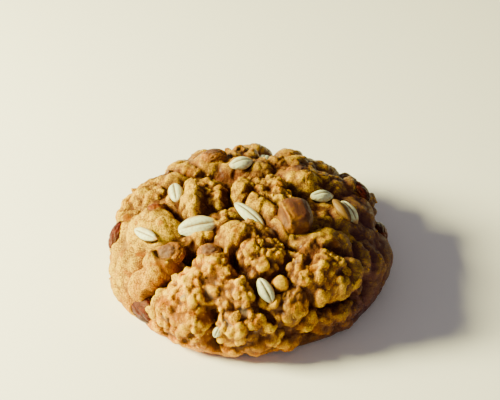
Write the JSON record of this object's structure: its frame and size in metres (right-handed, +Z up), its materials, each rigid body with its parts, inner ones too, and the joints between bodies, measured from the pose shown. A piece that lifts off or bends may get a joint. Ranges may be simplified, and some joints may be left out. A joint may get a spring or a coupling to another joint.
{
  "type": "oatmeal raisin cookie",
  "caption": "Round, thick home-style oatmeal raisin cookie: a domed, craggy golden-brown dough with clumps and cracks, oat grains stuck to its top and raisins peeking out.",
  "frame": {"origin": "middle of the flat foot, at the bottom of the bounding box", "axes": "+Z up through the crown; -Y faces the viewer of the picture; +X is the picture's right"},
  "size_m": [0.0755, 0.0788, 0.0302],
  "materials": {
    "baked_dough": "baked crumb, golden brown with darker toasted cracks, dull with slightly shiny oat grains",
    "raisin_skin": "wrinkled dark red-brown skin, satin with sticky gloss"
  },
  "bodies": {
    "root": {"dough": "baked_dough", "raisin_left_rim": "raisin_skin", "raisin_left_foot": "raisin_skin", "raisin_left_knob": "raisin_skin", "raisin_middle_knob": "raisin_skin", "raisin_back_left": "raisin_skin", "raisin_chunk": "raisin_skin", "raisin_back_right": "raisin_skin", "raisin_right_rim": "raisin_skin", "raisin_right_back": "raisin_skin", "raisin_left_crown": "raisin_skin", "raisin_far_side": "raisin_skin"}
  },
  "joints": []
}
